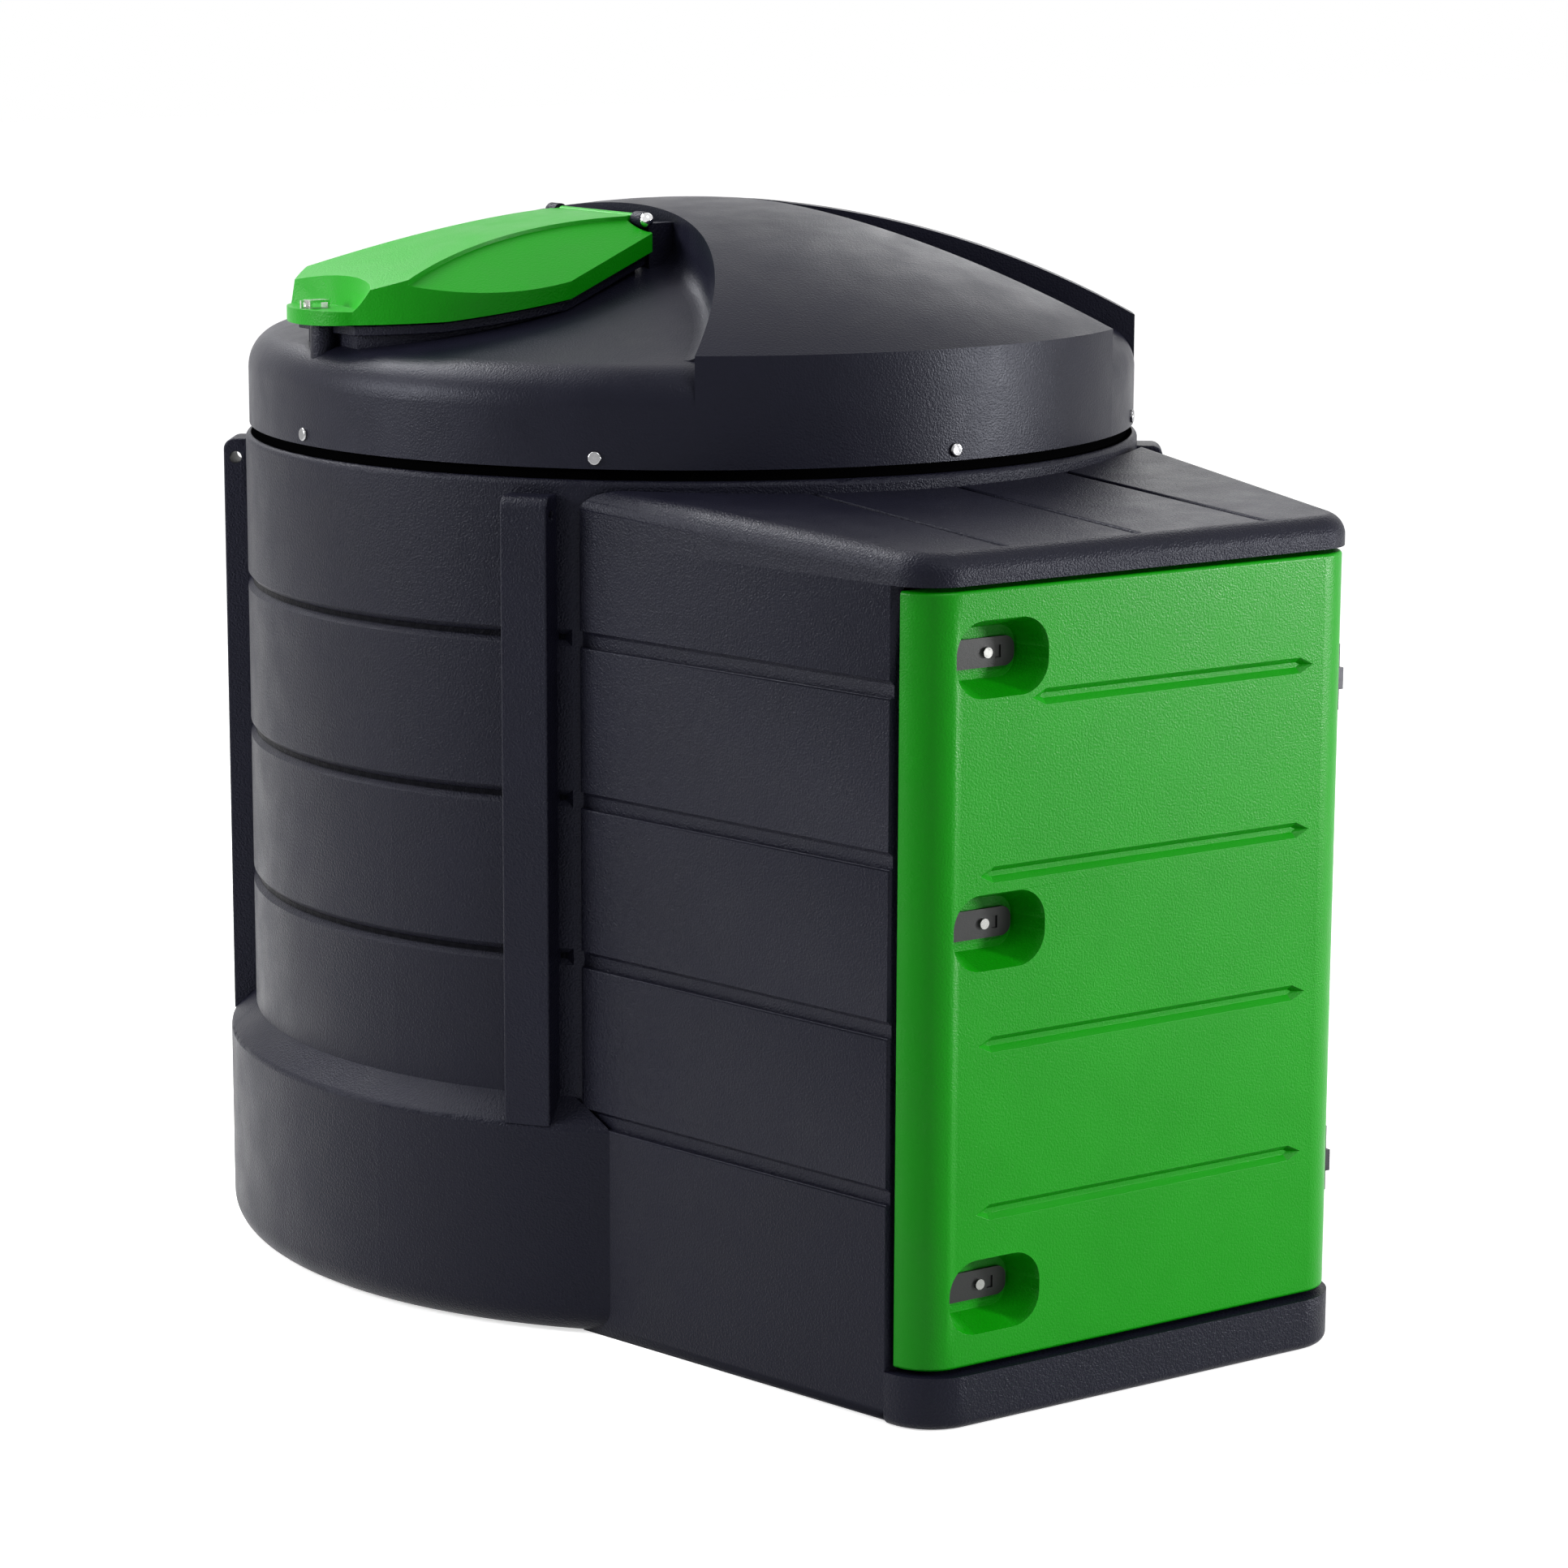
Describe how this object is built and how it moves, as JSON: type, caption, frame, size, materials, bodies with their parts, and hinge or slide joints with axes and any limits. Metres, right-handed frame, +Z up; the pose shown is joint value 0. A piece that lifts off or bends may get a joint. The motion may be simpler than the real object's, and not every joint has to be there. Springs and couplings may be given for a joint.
{
  "type": "diesel storage tank",
  "caption": "Round moulded plastic fuel tank with a domed cover, a hinged filling hatch on top and a flared equipment cabinet with a hinged door.",
  "frame": {"origin": "centre of the round tank's floor, on the ground", "axes": "+Z up, the cabinet door faces -Y, the filling hatch points to -X"},
  "size_m": [1.692, 2.165, 1.853],
  "materials": {
    "black_shell": "grained moulded polyethylene",
    "green_shell": "grained moulded polyethylene",
    "latch_black": "smooth black",
    "zinc_steel": "bright zinc",
    "bright_nut": "polished"
  },
  "bodies": {
    "tank": {"cabinet_back_wall_left": "black_shell", "cabinet_back_wall_right": "black_shell", "cabinet_base": "black_shell", "cabinet_hinges": "zinc_steel", "cabinet_left_side": "black_shell", "cabinet_right_side": "black_shell", "cabinet_roof": "black_shell", "cover_screws": "zinc_steel", "dome_band": "black_shell", "dome_left": "black_shell", "dome_petal": "black_shell", "dome_right": "black_shell", "hatch_boss": "black_shell", "hatch_collar": "black_shell", "hatch_hinge_blocks": "black_shell", "hatch_hinge_rod": "bright_nut", "post_back_left": "black_shell", "post_back_right": "black_shell", "post_front_left": "black_shell", "post_front_right": "black_shell", "tank_floor": "black_shell", "tank_wall_1": "black_shell", "tank_wall_2": "black_shell", "tank_wall_3": "black_shell", "tank_wall_4": "black_shell", "tank_wall_5": "black_shell", "tank_wall_6": "black_shell", "tank_wall_7": "black_shell"},
    "door": {"door_panel": "green_shell", "latch_plate_upper": "latch_black", "latch_plate_middle": "latch_black", "latch_plate_lower": "latch_black", "lock_barrel_upper": "zinc_steel", "lock_barrel_middle": "zinc_steel", "lock_barrel_lower": "zinc_steel", "door_hinges": "zinc_steel"},
    "hatch": {"hatch_lid": "green_shell", "hatch_staple": "zinc_steel"}
  },
  "joints": [
    {"name": "door_hinge", "type": "hinge", "parent": "tank", "child": "door", "pos_m": [0.45494, -1.236, 0.7], "axis": [0, 0, 1], "range_deg": [0, 110]},
    {"name": "hatch_hinge", "type": "hinge", "parent": "tank", "child": "hatch", "pos_m": [-0.197, 0, 1.83], "axis": [0, 1, 0], "range_deg": [0, 95]}
  ]
}
